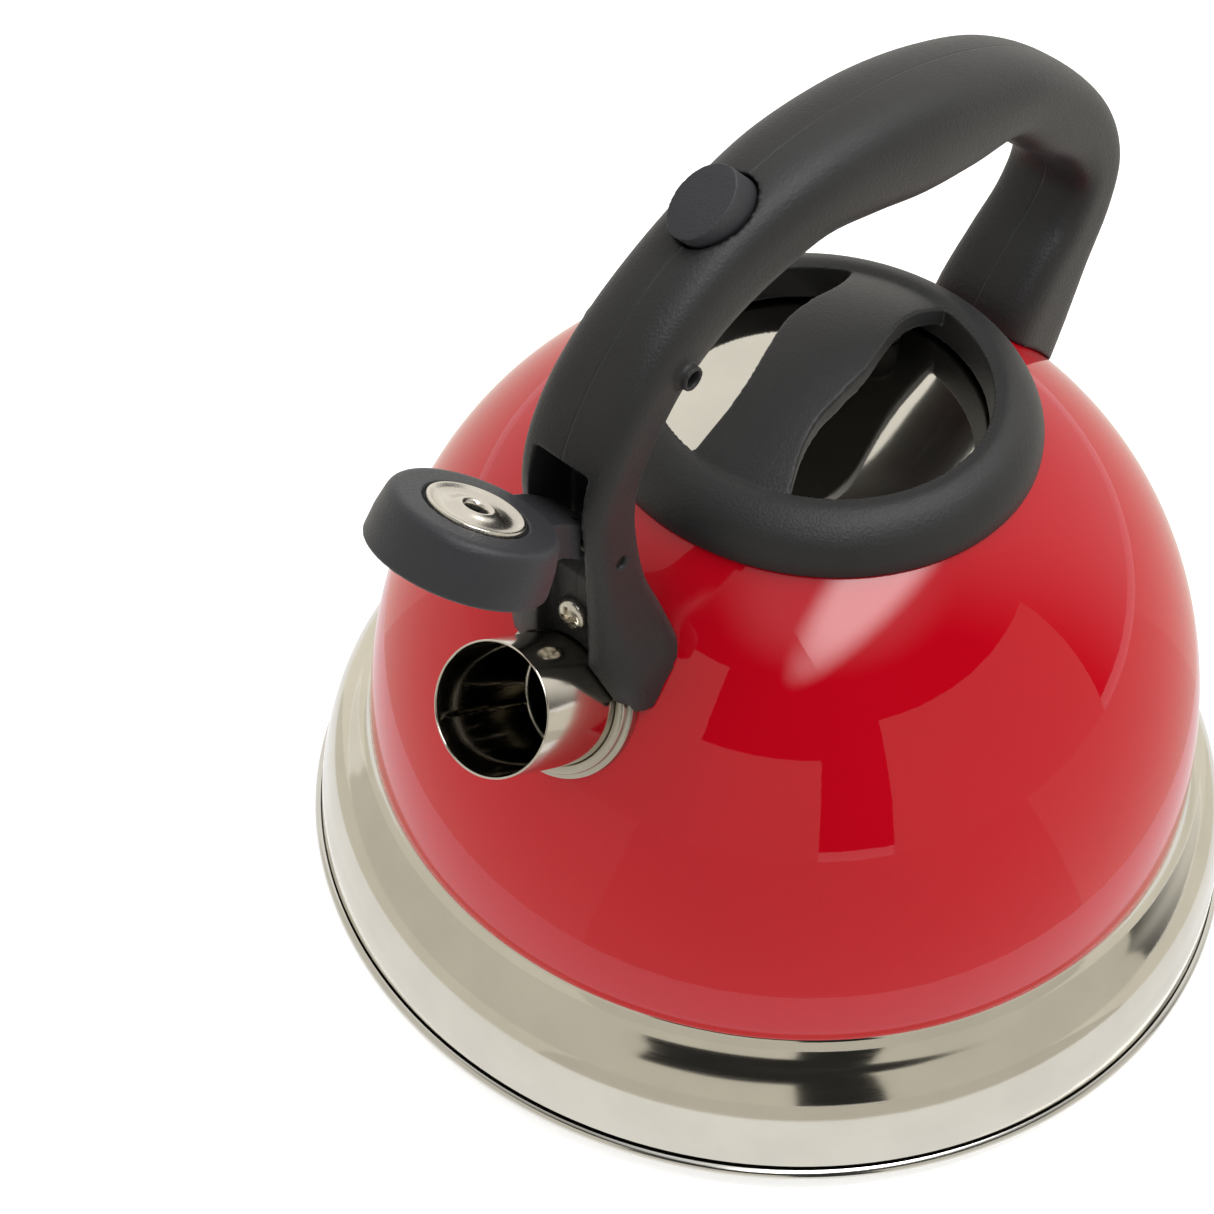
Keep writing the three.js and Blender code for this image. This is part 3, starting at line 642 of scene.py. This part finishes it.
def make_button():
    plunger = oval_bar(BUTTON_LENGTH * 0.98, BUTTON_WIDTH, -12.6, 8)
    crown = smooth_path([[0, 0.35], [6, 0.1], [10, -0.45], [14, -1.3], [40, -8]], 4)
    above = turned("above", [*crown, [40, 40], [0, 40]], 96)
    on_axis(above, BUTTON_FACE, BUTTON_FACE_TILT)
    combined(plunger, [above], "DIFFERENCE")
    combined(plunger, [oval_bar(4.4, 4.4, -17.4, -12, 6)], "UNION")
    moulded(plunger, 0.26, 3, 0.5)
    finished(plunger, "button_moulding", "button", SMOOTH_NYLON, ["thumb_button"], 180)


# Handle
HANDLE_SECTIONS = [
    # outside x z, inside x z, half width, squareness
    [77.5, 106.4, 57.5, 108, 18.8, 4.5],
    [79.6, 114.5, 59.6, 116.2, 17.6, 4.5],
    [80.2, 124, 62, 125, 14, 4.5],
    [81.4, 136, 66.2, 135.5, 11.6, 4.5],
    [83, 150, 69.2, 148, 10.9, 4.5],
    [84.4, 160, 70.2, 157.5, 11, 4.2],
    [83.2, 169.5, 68.8, 165.8, 11.4, 3.8],
    [79.2, 179.6, 64.4, 172.4, 11.5, 3.4],
    [73, 188.6, 58.8, 178.2, 11.3, 3.1],
    [64, 197, 52, 182.4, 11.1, 2.9],
    [51.5, 204.6, 43.4, 186.2, 11.2, 2.7],
    [37.2, 210, 32.9, 189.2, 11.7, 2.6],
    [21, 213, 20, 191.8, 12.6, 2.5],
    [3.2, 213.2, 4.4, 189, 13.4, 2.5],
    [-15, 211, -10.6, 185.4, 13.9, 2.5],
    [-33.6, 206.2, -26.2, 183.6, 13.6, 2.5],
    [-52, 198.6, -43.2, 182.8, 12.8, 2.6],
    [-69, 187.6, -57.4, 171.2, 12.4, 2.7],
    [-83.4, 172.8, -69.4, 162.8, 12.1, 3],
    [-91, 156.8, -75.4, 154, 11.9, 3.3],
    [-90.6, 142, -72, 145.8, 11.9, 3.6],
    [-85.2, 129.4, -64, 137.8, 12.4, 3.9],
    [-79.6, 116.4, -56, 128, 13.2, 4.2],
    [-74, 104, -51, 117, 13.6, 4.5],
]
SECTION_POINTS = 56


def section_ring(section):
    out_x, out_z, in_x, in_z, half, square = section
    ring = []
    for i in range(SECTION_POINTS):
        angle = 2 * math.pi * (i + 0.5) / SECTION_POINTS
        c, s = math.cos(angle), math.sin(angle)
        scale = (abs(c) ** square + abs(s) ** square) ** (-1 / square)
        along = 0.5 + 0.5 * c * scale
        ring.append((
            in_x + (out_x - in_x) * along, half * s * scale, in_z + (out_z - in_z) * along,
        ))
    return ring


def lofted(name, rings):
    count = len(rings[0])
    points = [point for ring in rings for point in ring]
    faces = [list(range(count)), [len(points) - count + i for i in range(count)]]
    for r in range(len(rings) - 1):
        for i in range(count):
            j = (i + 1) % count
            low, high = r * count, (r + 1) * count
            faces.append([low + i, low + j, high + j, high + i])
    return solid(name, points, faces)


def handle_cutters():
    slot = side_plate("slot", [
        [100, 126], [100, 170.2], [80.5, 170.2], [79.9, 173], [78.8, 177.4], [72, 176.6],
        [68.8, 171.6], [68.9, 167.6], [71.2, 162], [71.9, 156], [71.5, 150], [71.2, 142.4], [73, 139],
        [76.6, 135.5], [76.2, 126], [76, 100], [100, 100],
    ], -WINDOW_HALF, WINDOW_HALF)
    rocker = side_plate("rocker_room", [
        [34, 197], [34.2, 194.7], [57, 184.2], [57.9, 181.8], [60.4, 180.8], [68.4, 168.4], [71, 167],
        [78, 171], [79.6, 174], [78.6, 177.8], [72, 184.4], [64.4, 190.6], [60, 192], [46.4, 203.4],
        [42.2, 205.4], [38.6, 204.4], [35.4, 200.6],
    ], -WINDOW_HALF + 1, WINDOW_HALF - 1)
    front = side_plate("front_pocket", [
        [64.6, 100], [64.6, 121.4], [68, 125.6], [68, 131.4], [71.6, 131.4], [71.6, 100],
    ], -WINDOW_HALF, WINDOW_HALF)
    rear = side_plate("rear_pocket", [
        [-60.4, 100], [-60.4, 124.4], [-66.6, 129], [-71.6, 129], [-71.6, 100],
    ], -WINDOW_HALF, WINDOW_HALF)
    lid = turned("lid_room", [[0, 100], [LID_R + 2, 100], [LID_R + 2, 165], [30, 176], [0, 180]])
    return [
        slot, rocker, front, rear, lid, dome_filled(CLEAR),
        spout_bar(SPOUT_R + CLEAR, -60, 6), spout_bar(FERRULE_R + CLEAR, -60, -23.2),
        oval_bar(BUTTON_LENGTH + 0.9, BUTTON_WIDTH + 0.9, -15.4, 20),
        oval_bar(5.6, 5.6, -19.4, -12, 6),
        cross_bar(HINGE, 1.35, -30, 30), cross_bar(ROCKER, 1.85, -30, 30),
        long_bar(2, 66, 80, FRONT_SCREW_Z), long_bar(2, -90, -60, REAR_SCREW_Z),
        long_bar(4.2, -100, -75.4, REAR_SCREW_Z),
    ]


def make_handle():
    sections = smooth_path(HANDLE_SECTIONS, 5)
    grip = lofted("grip", [section_ring(section) for section in sections])
    combined(grip, [cross_bar(ROCKER, 2.6, -13.4, 13.4)], "UNION")
    combined(grip, handle_cutters(), "DIFFERENCE")
    moulded(grip, 0.5, 3, 0.45)
    finished(grip, "handle_moulding", "kettle", HANDLE_NYLON, ["handle"], 180)


# Screws
def pan_screw(seat, tip, z):
    """A cross-recess screw along X, with its head seated on the plane x = seat."""
    forward = 1 if seat > tip else -1
    head = [[3.6, 0], [3.75, 0.3], [3.75, 0.8], [3.45, 1.4], [2.8, 1.9], [1.7, 2.25], [0, 2.4]]
    body = turned("screw", [[0, -abs(seat - tip)], [1.5, -abs(seat - tip)], [1.5, 0], *head], 64)
    slots = []
    for turn in (0, 90):
        outline = [[-2.7, 3], [-2.3, 1.1], [-0.6, 0.1], [0.6, 0.1], [2.3, 1.1], [2.7, 3]]
        slot = side_plate("slot", outline, -0.6, 0.6)
        slot.data.transform(Matrix.Rotation(math.radians(turn + 20), 4, "Z"))
        slots.append(slot)
    combined(body, slots, "DIFFERENCE")
    body.data.transform(Matrix.Rotation(math.radians(90 * forward), 4, "Y"))
    body.data.transform(Matrix.Translation((seat, 0, z)))
    return body


def make_screws():
    front = pan_screw(76.35, 66.8, FRONT_SCREW_Z)
    finished(front, "screw_front", "kettle", NICKEL, ["front_screw"])
    rear = pan_screw(-75.75, -66.8, REAR_SCREW_Z)
    finished(rear, "screw_rear", "kettle", NICKEL, ["rear_screw"])


# Lid
GRIP_EDGE = [
    [-36.4, 4.6], [-27, 4.4], [-18.5, 5.6], [-10, 8], [0, 10.9], [9, 11.8], [17, 12.2],
    [24, 13.9], [31.4, 17.4],
]


def eye_outline():
    """One of the two eye-shaped openings beside the grip, seen from above."""
    tip = math.atan2(GRIP_EDGE[-1][1], GRIP_EDGE[-1][0])
    arc = []
    for i in range(61):
        angle = tip + (math.radians(172.6) - tip) * i / 60
        arc.append([RING_INNER_R * math.cos(angle), RING_INNER_R * math.sin(angle)])
    return [*arc, *smooth_path(GRIP_EDGE, 8)[:-1]]


def eye_cutter(turn):
    outline = eye_outline()
    count = len(outline)
    points = [(x, y, 120) for x, y in outline] + [(x, y, 170) for x, y in outline]
    faces = [list(range(count)), list(range(2 * count - 1, count - 1, -1))]
    for i in range(count):
        j = (i + 1) % count
        faces.append([i, j, count + j, count + i])
    eye = solid("eye", points, faces)
    eye.data.transform(Matrix.Rotation(math.radians(turn), 4, "Z"))
    return eye


def grip_height(radius):
    return RING_Z + GRIP_RISE * (1 - (radius / RING_INNER_R) ** 2)


def lid_bars(radius, low, high):
    """Two upright bars, one where each lid screw is."""
    bars = []
    for x, y in LID_SCREWS:
        upright = bar(radius, low, high)
        upright.data.transform(Matrix.Translation((x, y, 0)))
        bars.append(upright)
    return bars


def make_lid_cover():
    wall = 2
    crown = smooth_path([
        [LID_R, 128.4], [LID_R - 0.3, 131.6], [46.4, 135.2], [43.4, 138], [39.8, RING_Z],
        [RING_INNER_R + 0.8, RING_Z - 0.1],
    ], 6)
    ring = turned("ring", [
        [LID_R - 0.3, 128], *crown, [RING_INNER_R, RING_Z - 0.8], [RING_INNER_R, 131],
        [RING_INNER_R + wall, 131], [RING_INNER_R + wall, 136.6], [42.2, 135.4], [45, 132.4],
        [46.4, 129.6], [46.8, 128.1],
    ], 160)
    radii = [(RING_INNER_R + wall - 0.4) * i / 12 for i in range(13)]
    top = [[r, grip_height(r)] for r in radii]
    under = [[r, grip_height(r) - 4.6] for r in reversed(radii)]
    bridge = turned("bridge", [*top, *under], 160)
    combined(bridge, [eye_cutter(0), eye_cutter(180)], "DIFFERENCE")
    combined(ring, [bridge, *lid_bars(4, 130.8, 141)], "UNION")
    combined(ring, lid_bars(1.8, 120, 138.6), "DIFFERENCE")
    moulded(ring, 0.42, 4, 0.45)
    finished(ring, "lid_moulding", "lid", NYLON, ["lid_cover"], 180)


def make_lid_plate():
    dish = [[0, 131.2], [12, 131.1], [22, 130.9], [30, 130.6], [36, 130.05], [40, PLATE_Z + 0.8]]
    top = smooth_path(dish, 8)
    rim = [[45.2, PLATE_Z + 0.8], [45.6, PLATE_Z + 0.4], [45.2, PLATE_Z]]
    under = [[40, PLATE_Z], [33, 129.3], [20, 129.8], [0, 130.1]]
    plate = turned("plate", [*top, *rim, *under], 160)
    combined(plate, lid_bars(1.9, 120, 140), "DIFFERENCE")
    finished(plate, "lid_dish", "lid", PLATE, ["lid_plate"])


def make_lid_skirt():
    outer = MOUTH_R - 0.8
    top = PLATE_Z - CLEAR
    skirt = turned("skirt", [
        [outer, 116.6], [outer, top - 0.5], [outer - 0.5, top], [outer - 4, top],
        [outer - 4, top - 0.8],
        [outer - 0.9, top - 0.8], [outer - 0.9, 116.6], [outer - 0.75, 116.1], [outer - 0.2, 116.1],
    ], 160)
    finished(skirt, "lid_collar", "lid", PAN, ["lid_skirt"])


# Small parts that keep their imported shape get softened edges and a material
def dress(node, look, bevel=0.0):
    obj = frame["nodes"][node]
    for place in obj.material_slots:
        place.link = "OBJECT"
        place.material = look
    if bevel:
        edge = obj.modifiers.new("edge", "BEVEL")
        edge.width = bevel * MM
        edge.segments = 2
        edge.limit_method = "ANGLE"
        edge.angle_limit = math.radians(40)
        edge.use_clamp_overlap = True


def dress_small_parts():
    dress("rocker_lever", SMOOTH_NYLON, 0.3)
    # The link rod and the two pins get the near-black steel, painted shade for the shadowed window
    # and holes they sit in
    dress("link_rod", SHADE_DARK_STEEL, 0.2)
    dress("cap_hinge_pin", SHADE_DARK_STEEL, 0.2)
    dress("rocker_pin", SHADE_DARK_STEEL, 0.2)
    dress("front_bracket", HIDDEN_STEEL, 0.2)
    dress("rear_bracket", HIDDEN_STEEL, 0.2)
    dress("heat_spreader", SPREADER)
    dress("lid_screw_1", NICKEL)
    dress("lid_screw_2", NICKEL)


# Studio
STUDIO_CENTRE = Vector((0, 0, 0.1))


def flat_sheet(name, half_x, half_y):
    corners = [(-half_x, -half_y, 0), (half_x, -half_y, 0), (half_x, half_y, 0), (-half_x, half_y, 0)]
    return solid(name, corners, [[0, 1, 2, 3]])


def make_camera():
    """Stands where the kettle's rim, shoulder and lid circles say the picture was taken from."""
    place = Vector((395.57, 272.33, 559.17)) * MM
    right = Vector((-0.67241, 0.73876, 0.04586))
    up = Vector((-0.51002, -0.50734, 0.69461))
    back = right.cross(up)
    data = bpy.data.cameras.new("camera")
    data.sensor_width = 36
    data.lens = 88.96
    data.clip_start = 0.01
    data.clip_end = 50
    camera = bpy.data.objects.new("camera", data)
    turn = Matrix((right, up, back)).transposed().to_4x4()
    camera.matrix_world = Matrix.Translation(place) @ turn
    bpy.context.scene.collection.objects.link(camera)
    bpy.context.scene.camera = camera


def make_floor():
    floor = flat_sheet("floor", 6, 6)
    look = new_look("pale_floor", Roughness=0.6, Emission_Strength=0.42)
    shader_of(look).inputs["Base Color"].default_value = (0.9, 0.9, 0.9, 1)
    shader_of(look).inputs["Emission Color"].default_value = (1, 1, 1, 1)
    floor.data.materials.append(look)


def direction(azimuth, elevation):
    a, e = math.radians(azimuth), math.radians(elevation)
    return Vector((math.cos(e) * math.cos(a), math.cos(e) * math.sin(a), math.sin(e)))


def facing(obj, place, target):
    obj.location = place
    obj.rotation_euler = (place - target).to_track_quat("Z", "Y").to_euler()


def make_light(name, azimuth, elevation, distance, size, power):
    """A large soft white light that reflections don't show."""
    data = bpy.data.lights.new(name, "AREA")
    data.shape = "RECTANGLE"
    data.size, data.size_y = size
    data.energy = power
    light = bpy.data.objects.new(name, data)
    facing(light, STUDIO_CENTRE + direction(azimuth, elevation) * distance, STUDIO_CENTRE)
    light.visible_glossy = False
    bpy.context.scene.collection.objects.link(light)


def glow_look(name, glow, colour):
    look = bpy.data.materials.new(name)
    look.use_nodes = True
    tree = look.node_tree
    tree.nodes.clear()
    out = tree.nodes.new("ShaderNodeOutputMaterial")
    shine = tree.nodes.new("ShaderNodeEmission")
    shine.inputs["Color"].default_value = (*colour, 1)
    shine.inputs["Strength"].default_value = glow
    tree.links.new(shine.outputs[0], out.inputs["Surface"])
    return look


def fade_edges(look, half_x, half_y):
    """Lets a glowing look fade to clear towards the edges of its sheet."""
    tree = look.node_tree
    out = tree.nodes["Material Output"]
    shine = tree.nodes["Emission"]
    clear = tree.nodes.new("ShaderNodeBsdfTransparent")
    mix = tree.nodes.new("ShaderNodeMixShader")
    where = tree.nodes.new("ShaderNodeTexCoord")
    scale = tree.nodes.new("ShaderNodeMapping")
    scale.inputs["Scale"].default_value = (1 / half_x, 1 / half_y, 1)
    ball = tree.nodes.new("ShaderNodeTexGradient")
    ball.gradient_type = "SPHERICAL"
    fade = tree.nodes.new("ShaderNodeMapRange")
    fade.interpolation_type = "SMOOTHSTEP"
    fade.inputs["From Max"].default_value = 0.6
    tree.links.new(where.outputs["Object"], scale.inputs["Vector"])
    tree.links.new(scale.outputs["Vector"], ball.inputs["Vector"])
    tree.links.new(ball.outputs["Fac"], fade.inputs["Value"])
    tree.links.new(fade.outputs["Result"], mix.inputs["Fac"])
    tree.links.new(clear.outputs[0], mix.inputs[1])
    tree.links.new(shine.outputs[0], mix.inputs[2])
    tree.links.new(mix.outputs[0], out.inputs["Surface"])


def only_reflected(obj):
    """Hides a studio piece from all but reflections."""
    obj.visible_camera = False
    obj.visible_diffuse = False
    obj.visible_shadow = False


def make_card(name, azimuth, elevation, distance, size, glow):
    """A white card that only reflections show: bright in the middle and fading to its edges."""
    half_x, half_y = size[0] / 2, size[1] / 2
    card = flat_sheet(name, half_x, half_y)
    facing(card, STUDIO_CENTRE + direction(azimuth, elevation) * distance, STUDIO_CENTRE)
    look = glow_look(name, glow, (1, 1, 1))
    fade_edges(look, half_x, half_y)
    card.data.materials.append(look)
    only_reflected(card)


def make_sweep(name, edges, start, end, glow, colour):
    """A curved band that only reflections show, from one [radius, height] edge to the other,
    between two azimuths."""
    points = []
    steps = 48
    for radius, height in edges:
        for i in range(steps + 1):
            angle = math.radians(start + (end - start) * i / steps)
            points.append((radius * math.cos(angle), radius * math.sin(angle), height))
    faces = [[i, i + 1, steps + 2 + i, steps + 1 + i] for i in range(steps)]
    band = solid(name, points, faces)
    band.data.materials.append(glow_look(name, glow, colour))
    only_reflected(band)


def make_surroundings():
    """What the gloss and the steel reflect: a white board under the kettle, a duller table in
    front with brighter parts at the sides, and low walls with a dark gap between them."""
    warm = (1.0, 0.96, 0.85)
    low = 0.0006
    make_sweep("board", [(0.1125, low), (0.15, low)], 0, 360, 0.97, (1, 1, 1))
    make_sweep("table_front", [(0.15, low), (1.5, low)], 5, 100, 0.62, warm)
    make_sweep("table_left", [(0.15, low), (1.5, low)], -70, 5, 0.74, warm)
    make_sweep("table_right", [(0.15, low), (1.5, low)], 100, 150, 0.8, warm)
    make_sweep("table_back", [(0.15, low), (1.5, low)], 150, 290, 0.9, warm)
    make_sweep("wall_far_left", [(1.5, low), (1.5, 1.7)], -75, 14, 0.66, warm)
    make_sweep("wall_left", [(1.5, low), (1.5, 0.78)], 14, 48, 0.66, warm)
    make_sweep("wall_right", [(1.5, low), (1.5, 1.1)], 66, 128, 0.66, warm)


def make_world():
    """Even white light, but a dimmer room in reflections, darkest in front of the kettle."""
    world = bpy.data.worlds.new("room")
    bpy.context.scene.world = world
    world.use_nodes = True
    tree = world.node_tree
    tree.nodes.clear()
    out = tree.nodes.new("ShaderNodeOutputWorld")
    mix = tree.nodes.new("ShaderNodeMixShader")
    path = tree.nodes.new("ShaderNodeLightPath")
    fill = tree.nodes.new("ShaderNodeBackground")
    fill.inputs["Color"].default_value = (1, 1, 1, 1)
    fill.inputs["Strength"].default_value = 0.7
    room = tree.nodes.new("ShaderNodeBackground")
    room.inputs["Color"].default_value = (1, 0.975, 0.92, 1)
    where = tree.nodes.new("ShaderNodeTexCoord")
    towards = tree.nodes.new("ShaderNodeVectorMath")
    towards.operation = "DOT_PRODUCT"
    towards.inputs[1].default_value = direction(222, 20)
    fade = tree.nodes.new("ShaderNodeMapRange")
    fade.interpolation_type = "SMOOTHSTEP"
    fade.inputs["From Min"].default_value = -0.1
    fade.inputs["From Max"].default_value = 0.55
    fade.inputs["To Min"].default_value = 0.02
    fade.inputs["To Max"].default_value = 0.92
    tree.links.new(where.outputs["Generated"], towards.inputs[0])
    tree.links.new(towards.outputs["Value"], fade.inputs["Value"])
    tree.links.new(fade.outputs["Result"], room.inputs["Strength"])
    tree.links.new(path.outputs["Is Glossy Ray"], mix.inputs["Fac"])
    tree.links.new(fill.outputs[0], mix.inputs[1])
    tree.links.new(room.outputs[0], mix.inputs[2])
    tree.links.new(mix.outputs[0], out.inputs["Surface"])


def make_studio():
    make_camera()
    make_floor()
    make_world()
    make_surroundings()
    make_light("top_light", 150, 62, 1.6, (1.2, 1.2), 17)
    make_light("left_light", -60, 30, 1.6, (1.0, 1.0), 5)
    make_card("softbox", 104, 69, 1.2, (2.2, 0.50), 8)
    make_card("ceiling", 70, 72, 1.3, (1.7, 1.3), 0.8)
    bpy.context.scene.view_settings.view_transform = "Standard"


def make_kettle():
    make_body()
    make_enamel()
    make_pan()
    make_base()
    make_spout()
    make_spout_rim()
    make_spout_seam()
    make_ferrule()
    make_handle()
    make_screws()
    make_cap()
    make_cap_discs()
    make_button()
    make_lid_cover()
    make_lid_plate()
    make_lid_skirt()
    dress_small_parts()


make_studio()
make_kettle()
